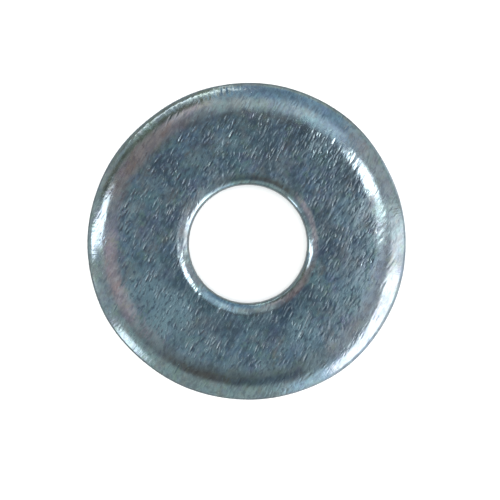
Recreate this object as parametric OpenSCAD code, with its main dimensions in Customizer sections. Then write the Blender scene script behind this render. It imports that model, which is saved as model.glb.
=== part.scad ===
/* [Washer] */
// Outside diameter
outer_d = 17; // [14:0.5:24]
// Thickness between the two bearing faces
thick = 3; // [2:0.1:4]
// Diameter of the bolt hole, which clears an M6 bolt
bore_d = 6.4; // [5:0.1:8.4]

/* [Rolled outer edge] */
// How far the rolled edge reaches in from the rim
roll_w = 1.7; // [1.3:0.05:1.9]
// How far the rolled edge drops below the top face
roll_h = 0.75; // [0.5:0.05:0.9]
// Tight radius where the rolled edge turns down into the rim
roll_r = 0.4; // [0.15:0.05:0.45]

/* [Rolled bore lip] */
// How far the lip reaches out from the bore wall
lip_w = 0.65; // [0.5:0.05:0.8]
// How far the lip drops below the top face
lip_h = 0.3; // [0.2:0.05:0.35]
// Tight radius where the lip turns down into the bore wall
lip_r = 0.15; // [0.05:0.05:0.15]

/* [Lower edges] */
// Radius on the lower edge of the rim
rim_break = 0.25; // [0.1:0.05:0.4]
// Radius on the lower edge of the bore
bore_break = 0.15; // [0.05:0.05:0.3]

/* [Hidden] */
outer_r = outer_d / 2;
bore_r = bore_d / 2;
ring_w = outer_r - bore_r;
// Overlap that carries each cut clear of the blank
over = 0.1;
turn_facets = 240;
arc_facets = 96;

// Radius of the gentle arc that leaves the top face level, w in from the corner, and meets
// a tight arc of radius r that ends upright, h below the corner
function gentle_r(w, h, r) = (w * w + h * h - 2 * w * r) / (2 * (h - r));

// Rounded corner of two tangent arcs. The sharp corner would be at the origin, with the
// body to its left and below it.
module rolled_corner(w, h, r) {
    big_r = gentle_r(w, h, r);
    // unit vector from the gentle arc's centre to the tight arc's centre
    lean = [w - r, big_r - h] / (big_r - r);
    // how far along it the gentle arc's sector runs past the top face
    reach = (h + over) / lean[1];
    intersection() {
        translate([-w, -big_r]) circle(r = big_r, $fn = 4 * arc_facets);
        polygon([
            [-w - over, -h],
            [-r, -h],
            [-r + reach * lean[0], over],
            [-w - over, over]
        ]);
    }
    translate([-r, -h]) circle(r = r, $fn = arc_facets);
}

// What the rolled corner takes off a square corner at the origin
module roll_cut(w, h, r) {
    difference() {
        translate([-w, -h]) square([w + over, h + over]);
        rolled_corner(w, h, r);
    }
}

// What a plain radius takes off a square corner at the origin
module break_cut(r) {
    difference() {
        translate([-r, -r]) square(r + over);
        translate([-r, -r]) circle(r = r, $fn = arc_facets);
    }
}

// Half section of the ring, with x as the radius and y as the height
module ring_section() {
    difference() {
        translate([bore_r, 0]) square([ring_w, thick]);
        translate([outer_r, thick]) roll_cut(roll_w, roll_h, roll_r);
        translate([bore_r, thick]) mirror([1, 0]) roll_cut(lip_w, lip_h, lip_r);
        translate([outer_r, 0]) mirror([0, 1]) break_cut(rim_break);
        translate([bore_r, 0]) rotate(180) break_cut(bore_break);
    }
}

module washer() {
    color("slategray") rotate_extrude($fn = turn_facets) ring_section();
}

washer();
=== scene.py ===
"""A thick flat washer in bright zinc plate, with a soft rolled edge, finely nicked from tumbling.

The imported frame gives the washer's box, its bore and the heights and radii at which its faces end.
One ring mesh with the true section, its small unevenness and its larger nicks stands for the CAD node.
"""

import math

import bpy
import numpy as np
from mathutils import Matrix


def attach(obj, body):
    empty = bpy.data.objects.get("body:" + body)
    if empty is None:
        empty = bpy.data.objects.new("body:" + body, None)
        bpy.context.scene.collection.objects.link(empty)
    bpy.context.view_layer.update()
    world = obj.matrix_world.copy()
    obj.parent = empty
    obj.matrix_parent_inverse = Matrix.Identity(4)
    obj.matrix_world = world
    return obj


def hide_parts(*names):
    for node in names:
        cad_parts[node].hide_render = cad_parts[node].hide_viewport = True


MM = 0.001
UM = 0.001 * MM
SEED = 7

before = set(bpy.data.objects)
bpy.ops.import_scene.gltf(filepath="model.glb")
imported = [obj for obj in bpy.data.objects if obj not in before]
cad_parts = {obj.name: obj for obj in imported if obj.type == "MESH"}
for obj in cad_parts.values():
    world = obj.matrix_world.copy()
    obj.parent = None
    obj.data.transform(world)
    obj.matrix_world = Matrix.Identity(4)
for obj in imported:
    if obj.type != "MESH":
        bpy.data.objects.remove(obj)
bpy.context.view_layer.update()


# ---------------------------------------------------------------- sizes, read off the frame


def read_section():
    """The ring section's driving sizes, measured on the CAD node's own vertices."""
    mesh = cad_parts["washer"].data
    points = np.empty(len(mesh.vertices) * 3)
    mesh.vertices.foreach_get("co", points)
    points = points.reshape(-1, 3)
    radius = np.hypot(points[:, 0], points[:, 1])
    height = points[:, 2]
    low, high = height.min(), height.max()
    near = 2 * UM
    on_top = radius[height > high - near]
    below = radius[height < low + near]
    rim = height[radius > radius.max() - near]
    bore = height[radius < radius.min() + near]
    return {
        "outer": radius.max(),
        "bore": radius.min(),
        "low": low,
        "high": high,
        "top_in": on_top.min(),
        "top_out": on_top.max(),
        "foot_in": below.min(),
        "foot_out": below.max(),
        "rim_top": rim.max(),
        "rim_foot": rim.min(),
        "bore_top": bore.max(),
        "bore_foot": bore.min(),
    }


size = read_section()
ROLL_TIGHT = 0.4 * MM  # the rolled edge's radius where it meets the rim
LIP_TIGHT = 0.15 * MM  # the lip's radius where it meets the bore


# ---------------------------------------------------------------- the ring's section

TURNS = 640  # steps round the ring
# Points along each stretch of the section, or steps along a corner's gentle and tight arcs
TOP_POINTS, RIM_POINTS, FOOT_POINTS, BORE_POINTS = 57, 13, 15, 11
ROLL_STEPS, LIP_STEPS = (25, 9), (8, 6)
RIM_BREAK_STEPS, BORE_BREAK_STEPS = 4, 3


def corner(width, height, tight, gentle_steps, tight_steps):
    """Two tangent arcs from level ground to an upright wall, as offsets in from the wall and down."""
    gentle = (width**2 + height**2 - 2 * width * tight) / (2 * (height - tight))
    join = math.asin((width - tight) / (gentle - tight))
    a = np.linspace(0, join, gentle_steps + 1)
    b = np.linspace(join, math.pi / 2, tight_steps + 1)[1:]
    inward = np.concatenate([width - gentle * np.sin(a), tight - tight * np.sin(b)])
    down = np.concatenate([gentle - gentle * np.cos(a), height - tight * np.cos(b)])
    return inward, down


def quarter(radius, steps):
    """A plain quarter round, as offsets in from the wall and down."""
    a = np.linspace(0, math.pi / 2, steps + 1)
    return radius - radius * np.sin(a), radius - radius * np.cos(a)


def ring_section():
    """The closed section, walked out over the top and back below: each point's radius, height, zone."""
    s = size
    radius, height, zone = [], [], []

    def walk(r, z, name):
        radius.extend(r[:-1])
        height.extend(z[:-1])
        zone.extend([name] * (len(r) - 1))

    walk(np.linspace(s["top_in"], s["top_out"], TOP_POINTS), np.full(TOP_POINTS, s["high"]), "top")
    inward, down = corner(s["outer"] - s["top_out"], s["high"] - s["rim_top"], ROLL_TIGHT, *ROLL_STEPS)
    walk(s["outer"] - inward, s["high"] - down, "roll")
    walk(np.full(RIM_POINTS, s["outer"]), np.linspace(s["rim_top"], s["rim_foot"], RIM_POINTS), "rim")
    inward, down = quarter(s["rim_foot"] - s["low"], RIM_BREAK_STEPS)
    walk((s["outer"] - inward)[::-1], (s["low"] + down)[::-1], "foot")
    walk(np.linspace(s["foot_out"], s["foot_in"], FOOT_POINTS), np.full(FOOT_POINTS, s["low"]), "foot")
    inward, down = quarter(s["bore_foot"] - s["low"], BORE_BREAK_STEPS)
    walk(s["bore"] + inward, s["low"] + down, "foot")
    walk(np.full(BORE_POINTS, s["bore"]), np.linspace(s["bore_foot"], s["bore_top"], BORE_POINTS), "bore")
    inward, down = corner(s["top_in"] - s["bore"], s["high"] - s["bore_top"], LIP_TIGHT, *LIP_STEPS)
    walk((s["bore"] + inward)[::-1], (s["high"] - down)[::-1], "lip")
    return np.array(radius), np.array(height), np.array(zone)


# ---------------------------------------------------------------- its unevenness

# The blank was pierced a little off its centre, and its outline isn't a perfect circle
OFF_CENTRE = (-0.04 * MM, 0.11 * MM)
LOBES = [(2, 22, 22), (3, 46, -137), (7, 10, -6), (11, 8, 155)]  # count, swell in micrometres, degrees

# The top's slow and quick swells, height and length, and how much calmer the quick one is on the roll
SLOW_SWELL = (11 * UM, 5 * MM)
QUICK_SWELL = (5 * UM, 1.8 * MM)
ROLL_CALM, ROLL_CALM_END = 0.6, 0.9 * MM
# How far the top sinks towards the rim and the bore, and how far inside the flat's ends that starts
ROLL_SAG = (40 * UM, 0.9 * MM)
LIP_SAG = (24 * UM, 1.0 * MM)

NICKS = 230
NICK_HEADING = 62  # degrees from +X: the way most nicks run
NICK_STRAY = 7  # degrees
NICK_CLEAR = 0.6  # how far nicks stay off the rim, in millimetres
NICK_LENGTH, NICK_WIDTH, NICK_DEPTH = (0.45, 1.0), (0.07, 0.11), (2.0, 7.0)  # mm, mm, micrometres
NICK_LIP = 1.6  # how strongly a nick's lips are raised
# Burrs along one arc of the rolled edge, in degrees from +X, and how far in from the rim they lie
BURRS = 34
BURR_ARC, BURR_IN = (94, 138), (0.18, 0.42)
BURR_LENGTH, BURR_WIDTH, BURR_DEPTH = (0.3, 0.6), (0.05, 0.09), (8.0, 18.0)  # mm, mm, micrometres
# The few marks that stand out: middle, heading, length, width (mm), depth (micrometres)
SCRATCHES = [
    ((-1.25, 6.05), 86, 0.55, 0.10, 8),
    ((-1.27, 5.35), 84, 0.60, 0.09, 7),
    ((-1.25, 4.70), 92, 0.50, 0.10, 9),
    ((-1.30, 4.15), 82, 0.45, 0.09, 8),
    ((-1.27, 3.75), 78, 0.40, 0.10, 9),
    ((1.85, -5.05), 60, 1.00, 0.07, 8),
    ((1.55, -5.60), 62, 0.90, 0.06, 6),
    ((2.75, -4.90), 58, 1.10, 0.06, 5),
    ((0.62, -6.60), 72, 0.60, 0.08, 12),
    ((0.78, -6.75), 66, 0.45, 0.08, 11),
    ((0.48, -6.45), 76, 0.40, 0.08, 9),
    ((-0.30, -6.65), 64, 0.50, 0.09, 9),
    ((4.40, -4.30), 80, 0.60, 0.11, 10),
    ((-5.30, 1.40), 50, 0.90, 0.08, 6),
    ((-0.84, 8.18), 92, 0.50, 0.07, 14),
    ((-1.05, 8.16), 94, 0.45, 0.06, 13),
    ((-1.35, 8.14), 97, 0.55, 0.08, 16),
    ((-1.60, 8.10), 98, 0.45, 0.06, 13),
    ((-1.90, 8.02), 101, 0.50, 0.07, 14),
    ((-2.75, 7.75), 106, 0.45, 0.08, 12),
    ((-3.60, 7.40), 112, 0.40, 0.08, 12),
]

# The torn lower part of the walls: where it begins and is full above the underside, how far it leans
# in and how ragged it is, the rag's length and its squash in height, and where the lean dies out off
# a wall
TORN_RISE = (1.15 * MM, 0.55 * MM)
TORN_LEAN, TORN_RAGGED = 14, 5  # micrometres
RAG_LENGTH, RAG_SQUASH = 0.5 * MM, 3
WALL_NEAR = 0.3 * MM


def waves(x, y, length, rng, count=14):
    """A smooth uneven field between about -1 and 1, with features about length across."""
    total = np.zeros_like(x)
    for _ in range(count):
        heading = rng.uniform(0, 2 * math.pi)
        stretch = rng.uniform(0.7, 1.5)
        phase = rng.uniform(0, 2 * math.pi)
        k = 2 * math.pi / (length * stretch)
        total += np.sin(k * (x * math.cos(heading) + y * math.sin(heading)) + phase)
    return total / math.sqrt(count / 2) / 1.5


def smooth(value, low, high):
    t = np.clip((value - low) / (high - low), 0, 1)
    return t * t * (3 - 2 * t)


def nick(x, y, at, heading, length, width):
    """A short groove with a small raised lip on each side, 1 deep on its line."""
    along = (x - at[0]) * math.cos(heading) + (y - at[1]) * math.sin(heading)
    across = (y - at[1]) * math.cos(heading) - (x - at[0]) * math.sin(heading)
    fade = np.clip(1 - (2 * along / length) ** 2, 0, None)
    v = (across / width) ** 2
    return fade * (1.0 - NICK_LIP * v) * np.exp(-v)


def top_swell(x, y, r, rng):
    """The top isn't flat: it swells slowly, and sinks towards the rolled edge and the lip."""
    calm = 1 - ROLL_CALM * smooth(r, size["top_out"], size["outer"] - ROLL_CALM_END)
    lift = SLOW_SWELL[0] * waves(x, y, SLOW_SWELL[1], rng)
    lift = lift + QUICK_SWELL[0] * calm * waves(x, y, QUICK_SWELL[1], rng)
    lift -= ROLL_SAG[0] * smooth(r, size["top_out"] - ROLL_SAG[1], size["outer"])
    lift -= LIP_SAG[0] * smooth(-r, -(size["top_in"] + LIP_SAG[1]), -size["bore"])
    return lift


def press_marks(lift, x, y, rng):
    """Presses nicks from tumbling against other washers, scratches and burrs into lift."""
    for _ in range(NICKS):
        place = rng.uniform(0, 2 * math.pi)
        reach = math.sqrt(rng.uniform(size["bore"] ** 2, (size["outer"] - NICK_CLEAR * MM) ** 2))
        heading = math.radians(rng.normal(NICK_HEADING, NICK_STRAY))
        length = rng.uniform(*NICK_LENGTH) * MM
        width = rng.uniform(*NICK_WIDTH) * MM
        depth = rng.uniform(*NICK_DEPTH) * UM
        at = (reach * math.cos(place), reach * math.sin(place))
        lift -= depth * nick(x, y, at, heading, length, width)
    for at, heading, length, width, depth in SCRATCHES:
        spot = (at[0] * MM, at[1] * MM)
        lift -= depth * UM * nick(x, y, spot, math.radians(heading), length * MM, width * MM)

    # small radial burrs along one stretch of the rolled edge
    burrs = np.random.default_rng(SEED + 1)
    for _ in range(BURRS):
        place = math.radians(burrs.uniform(*BURR_ARC))
        reach = size["outer"] - burrs.uniform(*BURR_IN) * MM
        at = (reach * math.cos(place), reach * math.sin(place))
        depth = burrs.uniform(*BURR_DEPTH) * UM
        length = burrs.uniform(*BURR_LENGTH) * MM
        width = burrs.uniform(*BURR_WIDTH) * MM
        lift -= depth * nick(x, y, at, place, length, width)


def lean_walls(x, y, z, r, a, zone, rng):
    """Leans the sheared lower part of the rim and of the bore in a little, raggedly."""
    torn = smooth(-z, -(size["low"] + TORN_RISE[0]), -(size["low"] + TORN_RISE[1]))
    ragged = waves(a * size["outer"], z * RAG_SQUASH, RAG_LENGTH, rng)
    lean = torn * (TORN_LEAN + TORN_RAGGED * ragged) * UM
    side = np.isin(zone, ["rim", "bore"])[:, None] | ((zone == "foot")[:, None] & (torn > 0.99))
    inward = np.where(r > (size["outer"] + size["bore"]) / 2, -1, 1)
    off_wall = np.minimum(abs(r - size["outer"]), abs(r - size["bore"]))
    near_wall = smooth(-off_wall, -WALL_NEAR, 0)
    x += np.where(side, inward * lean * near_wall * np.cos(a), 0)
    y += np.where(side, inward * lean * near_wall * np.sin(a), 0)


def shape_ring():
    """The ring's points by section point and turn, their true radii, and the section they came from."""
    rng = np.random.default_rng(SEED)
    radius, height, zone = ring_section()
    turn = np.arange(TURNS) * (2 * math.pi / TURNS)
    r = np.repeat(radius[:, None], TURNS, 1)
    z = np.repeat(height[:, None], TURNS, 1)
    a = np.repeat(turn[None, :], len(radius), 0)
    x, y = r * np.cos(a), r * np.sin(a)

    out = smooth(r, size["top_in"], size["outer"])
    grow = out * sum(swell * UM * np.cos(n * a - math.radians(turned)) for n, swell, turned in LOBES)
    x += grow * np.cos(a) + out * OFF_CENTRE[0]
    y += grow * np.sin(a) + out * OFF_CENTRE[1]

    lift = top_swell(x, y, r, rng)
    press_marks(lift, x, y, rng)
    upper = np.isin(zone, ["top", "roll", "lip"])[:, None]
    z += np.where(upper, lift, 0)
    lean_walls(x, y, z, r, a, zone, rng)
    return np.stack([x, y, z], 2), r, radius, height, zone


# ---------------------------------------------------------------- the ring mesh

TOP_ISLAND = 0.41  # the two islands' radii on the bake's map, in opposite corners of it
FOOT_ISLAND = 0.168
ISLAND_MARGIN = 0.004
BORE_SQUEEZE = 0.7  # the bore's wall is laid out shorter, to fit inside the top's island

# Where the material's masks begin and are full, with their strength if it isn't 1: the roll about the
# flat's outer end, the lip from its inner end to near the bore, the edge inside the rim, and the torn
# part above the underside
ROLL_FADE = (-0.3 * MM, 0.5 * MM)
LIP_FADE, LIP_ROLL = (0.1 * MM, 0.3 * MM), 0.75
EDGE_FADE, EDGE_ON_ROLL = (0.75 * MM, 0.3 * MM), 0.45
TORN_FADE = (1.25 * MM, 0.85 * MM)


def unwrap(mesh, radius, height, zone):
    """Lays the top, the rolled edge and both walls out as one disc, the underside as a smaller one."""
    rows = len(radius)
    step = np.hypot(np.roll(radius, -1) - radius, np.roll(height, -1) - height)
    step = np.where(zone == "bore", BORE_SQUEEZE * step, step)
    outward = radius[0] + np.concatenate([[0], np.cumsum(step)])
    inward = radius[0] - np.concatenate([np.cumsum(step[::-1])[::-1], [0]])
    out_far = outward[np.flatnonzero(zone == "rim")[-1] + 1]
    flat = np.append(radius, radius[0])
    turn = np.arange(TURNS + 1) * (2 * math.pi / TURNS)
    uv = np.empty((rows, TURNS, 4, 2))
    for i in range(rows):
        below = zone[i] == "foot"
        reach = flat if below else inward if zone[i] in ("bore", "lip") else outward
        scale = FOOT_ISLAND / size["outer"] if below else TOP_ISLAND / out_far
        centre = 1 - FOOT_ISLAND - ISLAND_MARGIN if below else TOP_ISLAND + ISLAND_MARGIN
        angle = -turn if below else turn
        way = np.stack([np.cos(angle), np.sin(angle)], 1)
        near, far = centre + scale * reach[i] * way, centre + scale * reach[i + 1] * way
        uv[i] = np.stack([near[:-1], far[:-1], far[1:], near[1:]], 1)
    layer = mesh.uv_layers.new(name="OFBake")
    layer.uv.foreach_set("vector", uv.astype(np.float32).ravel())


def masks(points, r, zone):
    """How far each point is up a rolled edge, how near a sheared wall, and how far down its torn part."""
    s = size
    roll = smooth(r, s["top_out"] + ROLL_FADE[0], s["top_out"] + ROLL_FADE[1])
    lip = smooth(-r, -(s["top_in"] + LIP_FADE[0]), -(s["bore"] + LIP_FADE[1]))
    roll = np.maximum(roll, LIP_ROLL * lip)
    wall = np.isin(zone, ["rim", "bore"])[:, None] * np.ones_like(r)
    edge = np.maximum(wall, EDGE_ON_ROLL * smooth(r, s["outer"] - EDGE_FADE[0], s["outer"] - EDGE_FADE[1]))
    torn = smooth(-points[:, :, 2], -(s["low"] + TORN_FADE[0]), -(s["low"] + TORN_FADE[1])) * wall
    return {"roll": roll, "edge": edge, "torn": torn}


def build_ring():
    points, r, radius, height, zone = shape_ring()
    rows = len(radius)
    mesh = bpy.data.meshes.new("washer_ring")
    index = np.arange(rows * TURNS).reshape(rows, TURNS)
    nxt, right = np.roll(index, -1, 0), np.roll(index, -1, 1)
    both = np.roll(nxt, -1, 1)
    faces = np.stack([index, nxt, both, right], 2).reshape(-1, 4)
    mesh.from_pydata(points.reshape(-1, 3).tolist(), [], faces.tolist())
    mesh.update()
    for p in mesh.polygons:
        p.use_smooth = True
    for name, values in masks(points, r, zone).items():
        layer = mesh.attributes.new(name, "FLOAT", "POINT")
        layer.data.foreach_set("value", values.astype(np.float32).ravel())
    unwrap(mesh, radius, height, zone)

    ring = bpy.data.objects.new("washer_body", mesh)
    bpy.context.scene.collection.objects.link(ring)
    return ring


# ---------------------------------------------------------------- node helpers


def node(tree, kind, inputs=(), **props):
    n = tree.nodes.new(kind)
    for key, value in props.items():
        setattr(n, key, value)
    for key, value in dict(inputs).items():
        if isinstance(value, bpy.types.NodeSocket):
            tree.links.new(value, n.inputs[key])
        else:
            n.inputs[key].default_value = value
    return n


def calc(tree, operation, *values, clamp=False):
    n = node(tree, "ShaderNodeMath", dict(enumerate(values)), operation=operation, use_clamp=clamp)
    return n.outputs[0]


def step_between(tree, value, low, high, to_low=0.0, to_high=1.0):
    """Smooth step of value from low to high."""
    n = node(
        tree,
        "ShaderNodeMapRange",
        {"Value": value, "From Min": low, "From Max": high, "To Min": to_low, "To Max": to_high},
        interpolation_type="SMOOTHSTEP",
    )
    return n.outputs[0]


def blend(tree, factor, first, second):
    n = node(tree, "ShaderNodeMix", data_type="RGBA")
    for socket, value in ((n.inputs[0], factor), (n.inputs[6], first), (n.inputs[7], second)):
        if isinstance(value, bpy.types.NodeSocket):
            tree.links.new(value, socket)
        elif isinstance(value, tuple):
            socket.default_value = (*value, 1)
        else:
            socket.default_value = value
    return n.outputs[2]


def stretched(tree, coords, heading, along, across, offset=(0, 0, 0)):
    """Coordinates turned so that +X runs along heading, then scaled."""
    turned = node(
        tree,
        "ShaderNodeMapping",
        {"Vector": coords, "Rotation": (0, 0, -math.radians(heading)), "Location": offset},
    )
    return node(
        tree, "ShaderNodeMapping", {"Vector": turned.outputs[0], "Scale": (along, across, across)}
    ).outputs[0]


def noise(tree, coords, scale, detail, rough):
    n = node(
        tree,
        "ShaderNodeTexNoise",
        {"Vector": coords, "Scale": scale, "Detail": detail, "Roughness": rough},
    )
    return n.outputs[0]


# ---------------------------------------------------------------- zinc plate: its film

# In the tables from here on, headings are in degrees off NICK_HEADING and coordinates in millimetres.
SLATE, TEAL, GREY = (0.38, 0.52, 0.67), (0.41, 0.64, 0.66), (0.52, 0.55, 0.56)
GREEN, VIOLET, BROWN = (0.43, 0.60, 0.49), (0.41, 0.43, 0.62), (0.44, 0.41, 0.38)
PALE, DARK, INKY = (0.63, 0.79, 0.83), (0.27, 0.35, 0.39), (0.21, 0.28, 0.35)
DARK_STREAK, ROLL_GREY = (0.27, 0.34, 0.39), (0.53, 0.56, 0.58)
PALE_PATCH, DARK_PATCH = (0.68, 0.93, 0.98), (0.11, 0.175, 0.24)
CLOUD_NOISE = (0.5, 4, 0.6)  # scale, detail, roughness, as in every noise below
TEAL_SPREAD = (0.40, 0.62)
ROLL_GREYED = 0.4

# Tints of the film. Each row: name, heading, scale along and across, offset, the noise's scale,
# detail and roughness, and its tints as (none at, full at, strength, colour)
FILMS_BELOW = [
    ("grey", -42, 1, 1, (9, 4, 0), 0.8, 4, 0.6, [(0.47, 0.62, 0.9, GREY)]),
    ("green", -12, 1, 1, (2, 6, 0), 1.3, 4, 0.65, [(0.50, 0.64, 0.85, GREEN)]),
    ("violet", 18, 1, 1, (8, 8, 0), 1.1, 4, 0.65, [(0.50, 0.64, 0.75, VIOLET)]),
    ("brown", 0, 0.8, 1.3, (4, 9, 0), 1.0, 4, 0.65, [(0.51, 0.66, 0.75, BROWN)]),
    ("bloom", 0, 0.8, 1.1, (5, 5, 0), 1.0, 4, 0.62, [(0.51, 0.66, 0.85, PALE), (0.48, 0.34, 0.9, DARK)]),
]
FILMS_ABOVE = [
    ("smudge", -4, 1.0, 5.0, (3, 8, 0), 1.0, 4, 0.6, [(0.50, 0.75, 0.55, PALE)]),
    ("mottle", 0, 2.6, 5.0, (7, 3, 0), 1.0, 3, 0.6, [(0.51, 0.70, 0.75, PALE), (0.49, 0.33, 0.85, INKY)]),
    ("dark streak", 3, 1.0, 4.0, (1, 2, 0), 1.0, 4, 0.6, [(0.50, 0.75, 0.55, DARK_STREAK)]),
]

# Patches of paler (+) and darker (-) film between those: x, y, reach, amount, in millimetres
CLOUDS = [
    (-4.2, -3.6, 2.1, 0.9),
    (-5.2, -2.2, 1.6, 0.7),
    (-3.2, -5.7, 1.5, 0.4),
    (-0.9, -6.5, 1.2, 0.3),
    (-3.4, -2.2, 1.1, -0.65),
    (-2.3, -3.4, 1.2, -0.6),
    (-1.2, -4.2, 1.2, -0.5),
    (0.6, -4.2, 1.2, -0.65),
    (2.0, -3.7, 1.2, -0.95),
    (3.3, -2.8, 1.3, -0.8),
    (2.8, -4.6, 1.2, 0.85),
    (3.1, -5.5, 1.4, 0.4),
    (5.5, -3.0, 1.5, 0.4),
    (5.6, -1.8, 1.3, 0.5),
    (4.2, -0.3, 1.1, -0.5),
    (5.9, 0.1, 0.9, -0.4),
    (5.3, 1.9, 1.4, 0.45),
    (4.9, 4.0, 1.7, -0.6),
    (3.2, 5.7, 1.4, -0.8),
    (0.9, 5.6, 1.6, -0.6),
    (-1.0, 4.4, 1.3, -0.4),
    (-2.5, 4.5, 1.0, 0.5),
    (-4.3, 3.9, 1.5, -0.45),
    (-3.9, 1.3, 1.1, -0.45),
    (-3.9, -1.2, 1.0, -0.45),
    (3.3, 1.3, 0.9, -0.85),
]
CLOUD_CORE = 0.15  # the share of a patch's reach at which it is full
CLOUD_LEVEL = size["high"] / MM
WARP_SCALE, WARP_REACH = 1.0, 1.8


def grain(tree, coords, turn, along, across, offset, scale, detail, rough):
    """A noise stretched along a heading that is turned off NICK_HEADING."""
    return noise(
        tree, stretched(tree, coords, NICK_HEADING + turn, along, across, offset), scale, detail, rough
    )


def warp(tree, coords, scale, reach):
    """Coordinates pushed about by a noise, by up to about a quarter of reach."""
    n = node(tree, "ShaderNodeTexNoise", {"Vector": coords, "Scale": scale, "Detail": 4.0})
    push = node(
        tree, "ShaderNodeVectorMath", {0: n.outputs["Color"], 1: (0.5, 0.5, 0.5)}, operation="SUBTRACT"
    ).outputs[0]
    n = node(
        tree,
        "ShaderNodeVectorMath",
        {0: push, 1: (reach, reach, reach), 2: coords},
        operation="MULTIPLY_ADD",
    )
    return n.outputs[0]


def cloud_at(tree, coords, x, y, reach):
    """1 at a place on the face, fading to 0 at reach from it, in millimetres."""
    gap = node(
        tree, "ShaderNodeVectorMath", {0: coords, 1: (x, y, CLOUD_LEVEL)}, operation="DISTANCE"
    ).outputs["Value"]
    return step_between(tree, gap, reach, CLOUD_CORE * reach)


def lay_films(tree, mm, colour, films):
    for _, turn, along, across, offset, scale, detail, rough, tints in films:
        field = grain(tree, mm, turn, along, across, offset, scale, detail, rough)
        for none_at, full_at, strength, tint in tints:
            colour = blend(tree, step_between(tree, field, none_at, full_at, 0, strength), colour, tint)
    return colour


def film_colour(tree, mm, cloud, roll):
    """Slate blue clouded with teal, with tints and paler and darker patches of film, greyer on the roll."""
    colour = blend(tree, step_between(tree, cloud, *TEAL_SPREAD), SLATE, TEAL)
    colour = lay_films(tree, mm, colour, FILMS_BELOW)
    warped = warp(tree, mm, WARP_SCALE, WARP_REACH)
    for x, y, reach, amount in CLOUDS:
        spread = calc(tree, "MULTIPLY", cloud_at(tree, warped, x, y, reach), abs(amount))
        colour = blend(tree, spread, colour, PALE_PATCH if amount > 0 else DARK_PATCH)
    colour = lay_films(tree, mm, colour, FILMS_ABOVE)
    return blend(tree, calc(tree, "MULTIPLY", roll, ROLL_GREYED), colour, ROLL_GREY)


# ---------------------------------------------------------------- zinc plate: its nicks

CELL_FILL = 0.6  # a dash's length and width, as a share of its cell's
# Where a dash's body and its flanks are none and full, by distance from its middle and from its line
BODY_SPREAD, FLANK_SPREAD, FLANK_SIDE = (0.42, 0.0), (0.56, 0.22), (-0.05, 0.20)
# Layers of dashes: heading, length, width (mm), share of cells that hold one, offset, depth (micrometres)
DASHES = [
    (0, 0.44, 0.130, 0.28, (0.0, 0.0, 0.2), 8.0),
    (8, 0.34, 0.120, 0.26, (3.1, 1.7, 0.5), 7.0),
    (-10, 0.38, 0.120, 0.22, (7.7, 2.3, 0.1), 7.0),
    (2, 0.26, 0.095, 0.38, (5.2, 6.1, 0.3), 6.0),
    (24, 0.24, 0.110, 0.20, (1.2, 4.1, 0.7), 6.0),
    (-4, 0.22, 0.090, 0.38, (9.2, 7.1, 0.6), 5.0),
    (1, 0.44, 0.120, 0.05, (6.2, 3.1, 0.9), 15.0),
    (4, 2.4, 0.070, 0.02, (2.2, 9.1, 0.3), 6.0),
]
FULL_DEPTH = 16  # micrometres: a dash this deep shows its flanks at full strength
# How strong the dashes are, from calm patches to worn ones, and the share of their depth and of their
# flanks' painted highlight and painted shade left on a roll or an edge
WEAR_NOISE, WEAR_SPREAD, WEAR = (0.9, 3, 0.6), (0.38, 0.64), (0.3, 1.15)
DEPTH_ON_ROLL, FLANKS_ON_ROLL, FLANKS_ON_EDGE = 0.35, 0.45, 0.15


def dashes(tree, coords, heading, length, width, share, offset):
    """Scattered short dashes: how deep in one a point is, and how far on its upper and lower flank.

    share is how many of the cells hold one.
    """
    cells = stretched(tree, coords, heading, CELL_FILL / length, CELL_FILL / width, offset)
    dots = node(
        tree,
        "ShaderNodeTexVoronoi",
        {"Vector": cells, "Scale": 1.0, "Randomness": 1.0},
        voronoi_dimensions="2D",
    )
    here = node(tree, "ShaderNodeSeparateXYZ", {0: cells}).outputs[1]
    line = node(tree, "ShaderNodeSeparateXYZ", {0: dots.outputs["Position"]}).outputs[1]
    side = calc(tree, "SUBTRACT", here, line)
    pick = node(tree, "ShaderNodeSeparateColor", {0: dots.outputs["Color"]}).outputs[0]
    chosen = step_between(tree, pick, 1 - share, 1 - share * 0.2)
    body = step_between(tree, dots.outputs["Distance"], *BODY_SPREAD)
    near = step_between(tree, dots.outputs["Distance"], *FLANK_SPREAD)
    near = calc(tree, "MULTIPLY", near, chosen)
    low, high = FLANK_SIDE
    upper = calc(tree, "MULTIPLY", near, step_between(tree, side, low, high))
    lower = calc(tree, "MULTIPLY", near, step_between(tree, side, -low, -high))
    return calc(tree, "MULTIPLY", body, chosen), upper, lower


def nicks(tree, mm, roll, edge):
    """Dashes in several sizes, most running the same way, stronger in some patches: their depth, and a
    painted highlight on their upper flanks and painted shade on their lower flanks.
    """
    # bright is the painted highlight on the dashes' upper flanks, the other the painted shade on their
    # lower flanks
    depth, bright, flank_shade = 0.0, 0.0, 0.0
    for turn, length, width, share, offset, deep in DASHES:
        body, upper, lower = dashes(tree, mm, NICK_HEADING + turn, length, width, share, offset)
        depth = calc(tree, "MULTIPLY_ADD", body, deep, depth)
        bright = calc(tree, "MAXIMUM", bright, calc(tree, "MULTIPLY", upper, deep / FULL_DEPTH))
        flank_shade = calc(tree, "MAXIMUM", flank_shade, calc(tree, "MULTIPLY", lower, deep / FULL_DEPTH))
    wear = step_between(tree, noise(tree, mm, *WEAR_NOISE), *WEAR_SPREAD, *WEAR)
    depth = calc(tree, "MULTIPLY", depth, wear)
    depth = calc(tree, "MULTIPLY", depth, step_between(tree, roll, 0, 1, 1.0, DEPTH_ON_ROLL))
    # less painted highlight and painted shade on the flanks on a roll and on an edge
    wear = calc(tree, "MULTIPLY", wear, step_between(tree, roll, 0, 1, 1.0, FLANKS_ON_ROLL))
    wear = calc(tree, "MULTIPLY", wear, step_between(tree, edge, 0, 1, 1.0, FLANKS_ON_EDGE))
    return depth, calc(tree, "MULTIPLY", bright, wear), calc(tree, "MULTIPLY", flank_shade, wear)


# ---------------------------------------------------------------- zinc plate: its relief

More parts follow.
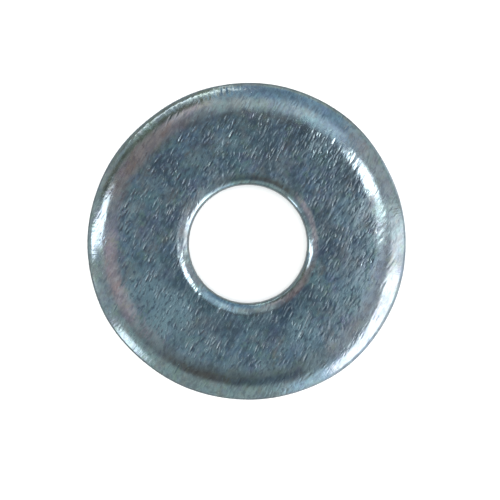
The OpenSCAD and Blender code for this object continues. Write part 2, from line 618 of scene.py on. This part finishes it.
# Slow dints: heading, scale along and across, offset, the noise's scale, detail and roughness, and
# height in micrometres
DINTS = [
    (-8, 2.2, 5.0, (4, 4, 0), 1.0, 1, 0.5, 9.0),
    (0, 1.3, 2.2, (6, 1, 0), 1.0, 1, 0.5, 12.0),
    (5, 3.5, 11.0, (0, 0, 0), 1.0, 2, 0.5, 3.0),
]
DINTS_ON_ROLL = 0.17
STREAKS_ROUND = 50.0  # how fine the die's streaks are round the edge
STREAK_NOISE, TORN_NOISE = (1.0, 3, 0.6), (7.0, 5, 0.7)
STREAK_HEIGHT, TORN_HEIGHT = 13.0, 30.0  # micrometres


def relief(tree, mm, roll, edge, torn, depth):
    """Bump from heights in micrometres: dints, nicks, the die's streaks, and the torn grain below them."""
    height = 0.0
    for turn, along, across, offset, scale, detail, rough, high in DINTS:
        field = grain(tree, mm, turn, along, across, offset, scale, detail, rough)
        height = calc(tree, "MULTIPLY_ADD", field, high, height)
    height = calc(tree, "MULTIPLY", height, step_between(tree, roll, 0, 1, 1.0, DINTS_ON_ROLL))
    height = calc(tree, "SUBTRACT", height, depth)

    # on the unit circle a noise depends on the bearing alone, so it runs square to the edge
    circle = node(tree, "ShaderNodeVectorMath", {0: mm, 1: (1, 1, 0)}, operation="MULTIPLY").outputs[0]
    circle = node(tree, "ShaderNodeVectorMath", {0: circle}, operation="NORMALIZE").outputs[0]
    streaks = noise(tree, stretched(tree, circle, 0, STREAKS_ROUND, STREAKS_ROUND), *STREAK_NOISE)
    torn_grain = noise(tree, mm, *TORN_NOISE)
    height = calc(tree, "MULTIPLY_ADD", calc(tree, "MULTIPLY", streaks, edge), STREAK_HEIGHT, height)
    height = calc(tree, "MULTIPLY_ADD", calc(tree, "MULTIPLY", torn_grain, torn), TORN_HEIGHT, height)
    return node(
        tree, "ShaderNodeBump", {"Height": height, "Strength": 1.0, "Distance": UM}
    ).outputs[0]


# ---------------------------------------------------------------- zinc plate: put together

TORN_GREY, TORN_TINT = (0.30, 0.34, 0.36), 0.55
# painted shade for the nicks' lower flanks and painted highlight for their upper flanks, with their
# strengths; the highlighted flank is also a little rougher
FLANK_SHADE, FLANK_SHADE_TINT = (0.14, 0.21, 0.28), 2.0
FLANK_HIGHLIGHT, FLANK_HIGHLIGHT_TINT = (0.84, 0.96, 0.98), 0.9
ROUGH_SPREAD, ROUGH = (0.35, 0.70), (0.12, 0.17)
FLANK_HIGHLIGHT_ROUGHER, TORN_ROUGHER = 0.08, 0.22


def zinc_plate():
    material = bpy.data.materials.new("zinc_plate")
    material.use_nodes = True
    tree = material.node_tree
    tree.nodes.clear()
    place = node(tree, "ShaderNodeTexCoord").outputs["Object"]
    mm = node(
        tree, "ShaderNodeMapping", {"Vector": place, "Scale": (1 / MM, 1 / MM, 1 / MM)}
    ).outputs[0]
    roll = node(tree, "ShaderNodeAttribute", attribute_name="roll").outputs["Fac"]
    edge = node(tree, "ShaderNodeAttribute", attribute_name="edge").outputs["Fac"]
    torn = node(tree, "ShaderNodeAttribute", attribute_name="torn").outputs["Fac"]

    cloud = noise(tree, mm, *CLOUD_NOISE)
    colour = film_colour(tree, mm, cloud, roll)
    depth, bright, flank_shade = nicks(tree, mm, roll, edge)
    bump = relief(tree, mm, roll, edge, torn, depth)

    # a painted highlight on a nick's upper flank and painted shade on its lower flank, as though lit from
    # one side
    colour = blend(tree, calc(tree, "MULTIPLY", torn, TORN_TINT), colour, TORN_GREY)
    colour = blend(tree, calc(tree, "MULTIPLY", flank_shade, FLANK_SHADE_TINT, clamp=True), colour, FLANK_SHADE)
    colour = blend(tree, calc(tree, "MULTIPLY", bright, FLANK_HIGHLIGHT_TINT, clamp=True), colour, FLANK_HIGHLIGHT)
    rough = step_between(tree, cloud, *ROUGH_SPREAD, *ROUGH)
    rough = calc(tree, "MULTIPLY_ADD", bright, FLANK_HIGHLIGHT_ROUGHER, rough)
    rough = calc(tree, "MULTIPLY_ADD", torn, TORN_ROUGHER, rough)
    shader = node(
        tree,
        "ShaderNodeBsdfPrincipled",
        {"Base Color": colour, "Metallic": 1.0, "Roughness": rough, "Normal": bump},
    )
    node(tree, "ShaderNodeOutputMaterial", {"Surface": shader.outputs[0]})
    return material


# ---------------------------------------------------------------- the floor and the room

PAPER, PAPER_ROUGH = (0.86, 0.86, 0.85), 0.9
FLOOR_HALF = 10.0


def paper():
    material = bpy.data.materials.new("paper")
    material.use_nodes = True
    shader = material.node_tree.nodes["Principled BSDF"]
    shader.inputs["Base Color"].default_value = (*PAPER, 1)
    shader.inputs["Roughness"].default_value = PAPER_ROUGH
    return material


def floor():
    """A wide sheet of pale paper that the washer lies on. The metal doesn't mirror it."""
    half, low = FLOOR_HALF, size["low"]
    mesh = bpy.data.meshes.new("floor")
    mesh.from_pydata(
        [(-half, -half, low), (half, -half, low), (half, half, low), (-half, half, low)],
        [],
        [(0, 1, 2, 3)],
    )
    mesh.materials.append(paper())
    obj = bpy.data.objects.new("floor", mesh)
    bpy.context.scene.collection.objects.link(obj)
    obj.visible_glossy = False


# The room's plain ground: straight up, above and around, and the zenith angles in degrees over which
# the last two take over
OVERHEAD, ABOVE, AROUND = (0.17, 0.215, 0.257), (0.25, 0.31, 0.34), (0.40, 0.46, 0.45)
ABOVE_SPREAD, AROUND_SPREAD = (0, 10), (20, 70)
# What surrounds the washer, painted one over another on that ground. Each row, in degrees: name, azimuth,
# zenith angle, half width, half height, softness, how much its zenith angle grows with azimuth and its
# azimuth with zenith angle, colour.
ROOM = [
    ("light side", 354, 25, 44, 15, 9, 0, 0, (0.40, 0.41, 0.44)),
    ("light side, near", 354, 16, 24, 9, 7, 0, 0, (0.49, 0.51, 0.56)),
    ("dark side", 100, 13, 58, 7, 7, 0, 0, (0.16, 0.20, 0.23)),
    ("dark ceiling", 262, 24, 34, 15, 7, 0, 0, (0.19, 0.225, 0.235)),
    ("dark beam, near", 222, 34, 16, 5, 5, 0, 0, (0.17, 0.21, 0.23)),
    ("dark beam", 252, 33, 16, 9, 6, 0, 0, (0.135, 0.13, 0.12)),
    ("dark beam, far", 276, 35, 14, 8, 6, 0, 0, (0.11, 0.145, 0.175)),
    ("blue wall", 74, 48, 27, 26, 8, 0, 0, (0.29, 0.42, 0.53)),
    ("brown beam", 82, 9, 30, 4, 3, 0, 0, (0.165, 0.17, 0.18)),
    ("grey haze", 92, 29, 18, 11, 8, 0, 0, (0.50, 0.54, 0.54)),
    ("blue haze", 60, 32, 15, 11, 7, 0, 0, (0.66, 0.82, 0.90)),
    ("blue shade", 80, 57, 10, 8, 7, 0, 0, (0.18, 0.26, 0.34)),
    ("warm wall", 140, 32, 24, 16, 8, 0, 0, (0.32, 0.255, 0.25)),
    ("warm wall, lit", 114, 42, 9, 8, 5, 0, 0, (0.76, 0.66, 0.64)),
    ("warm wall, left", 196, 25, 22, 12, 9, 0, 0, (0.54, 0.45, 0.465)),
    ("shelf", 136, 51, 28, 5, 3, 0.15, 0, (0.15, 0.165, 0.135)),
    ("low wall, left", 122, 90, 26, 26, 6, 0, 0, (0.26, 0.28, 0.245)),
    ("strip light", 115, 62, 21, 1.4, 1.2, 0.2, 0, (2.5, 2.6, 2.5)),
    ("post", 99, 80, 1.5, 24, 1.5, 0, 0, (1.1, 1.15, 1.1)),
    ("pale wall, near", 254, 74, 32, 28, 4, 0, 0, (0.35, 0.42, 0.41)),
    ("curtain", 298, 80, 13, 32, 7, -0.3, 0, (0.68, 0.86, 0.98)),
    ("lamp, front left", 221, 79, 6, 24, 3, 0, 0, (1.9, 2.0, 2.1)),
    ("post, left", 195, 84, 1.5, 18, 2, 0, 0, (0.9, 0.95, 0.9)),
    ("grey wall, right", 30, 52, 14, 12, 6, 0, 0, (0.46, 0.46, 0.48)),
    ("pale blind", 354, 70, 17, 28, 5, -0.2, 0, (1.25, 1.28, 1.3)),
    ("window", 326, 73, 23, 29, 4, -0.3, 0, (2.25, 2.2, 2.25)),
    ("window, foot", 327, 91, 26, 15, 4, 0, 0, (0.85, 0.92, 0.98)),
    ("lamp, left", 170, 44, 9, 5, 2, 0, 0, (2.6, 2.65, 2.7)),
    ("lamp, left, shade", 176, 52, 5, 11, 2, 0, 0.35, (2.6, 2.65, 2.7)),
    ("ceiling glow", 17, 23, 12, 10, 7, 0, 0, (1.0, 1.05, 1.06)),
    ("ceiling panel", 26, 23.5, 8, 8.5, 1.5, 0, 0, (4.4, 4.5, 4.5)),
    ("paper", 0, 180, 400, 75, 7, 0, 0, (0.28, 0.31, 0.31)),
    ("lit paper", 340, 125, 55, 24, 10, 0, 0, (0.66, 0.70, 0.74)),
]


def room():
    world = bpy.data.worlds.new("room")
    world.use_nodes = True
    bpy.context.scene.world = world
    tree = world.node_tree
    tree.nodes.clear()
    way = node(tree, "ShaderNodeTexCoord").outputs["Generated"]
    axes = node(tree, "ShaderNodeSeparateXYZ", {0: way}).outputs
    azimuth = calc(tree, "ARCTAN2", axes[1], axes[0])
    zenith = calc(tree, "ARCCOSINE", axes[2])
    azimuth = calc(tree, "MULTIPLY", azimuth, math.degrees(1))
    zenith = calc(tree, "MULTIPLY", zenith, math.degrees(1))
    colour = blend(tree, step_between(tree, zenith, *ABOVE_SPREAD), OVERHEAD, ABOVE)
    colour = blend(tree, step_between(tree, zenith, *AROUND_SPREAD), colour, AROUND)
    for _, at, tilt, wide, tall, soft, climb, drift, shade in ROOM:
        gap = calc(tree, "WRAP", calc(tree, "SUBTRACT", azimuth, at), 180.0, -180.0)
        rise = calc(tree, "SUBTRACT", zenith, tilt)
        level = calc(tree, "MULTIPLY_ADD", gap, -climb, rise)
        aside = calc(tree, "MULTIPLY_ADD", rise, -drift, gap)
        mask = calc(
            tree,
            "MULTIPLY",
            step_between(tree, calc(tree, "ABSOLUTE", aside), wide + soft, wide - soft),
            step_between(tree, calc(tree, "ABSOLUTE", level), tall + soft, tall - soft),
        )
        colour = blend(tree, mask, colour, shade)
    background = node(tree, "ShaderNodeBackground", {"Color": colour, "Strength": 1.0})
    node(tree, "ShaderNodeOutputWorld", {"Surface": background.outputs[0]})


# ---------------------------------------------------------------- light and camera

SOFTBOX_ACROSS, SOFTBOX_HEIGHT, SOFTBOX_POWER = 0.9, 1.2, 26.0
LENS = 150.0
FRAME_FILL = 0.6356  # the washer's outside diameter, as a share of the picture's width
CENTRE_SHIFT = (0.0042, -0.0122)
NEAR_CLIP, FAR_CLIP = 0.001, 30


def softbox():
    """A wide overhead light that only the paper takes: the metal mirrors the room."""
    data = bpy.data.lights.new("softbox", "AREA")
    data.shape = "DISK"
    data.size = SOFTBOX_ACROSS
    data.energy = SOFTBOX_POWER
    light = bpy.data.objects.new("softbox", data)
    light.location = (0, 0, SOFTBOX_HEIGHT)
    light.visible_glossy = False
    bpy.context.scene.collection.objects.link(light)


def camera():
    """Straight above the washer, looking down, far enough off for it to fill its share of the picture."""
    data = bpy.data.cameras.new("camera")
    data.lens = LENS
    eye = bpy.data.objects.new("camera", data)
    bpy.context.scene.collection.objects.link(eye)
    bpy.context.scene.camera = eye
    view_width = 2 * size["outer"] / FRAME_FILL
    distance = view_width * LENS / data.sensor_width
    eye.location = (0, 0, size["rim_top"] + distance)
    data.shift_x = CENTRE_SHIFT[0]
    data.shift_y = CENTRE_SHIFT[1]
    data.clip_start = NEAR_CLIP
    data.clip_end = FAR_CLIP


# ---------------------------------------------------------------- put together

camera()
ring = build_ring()
ring.data.materials.append(zinc_plate())
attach(ring, "root")
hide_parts("washer")
floor()
room()
softbox()
bpy.context.scene.view_settings.view_transform = "Standard"
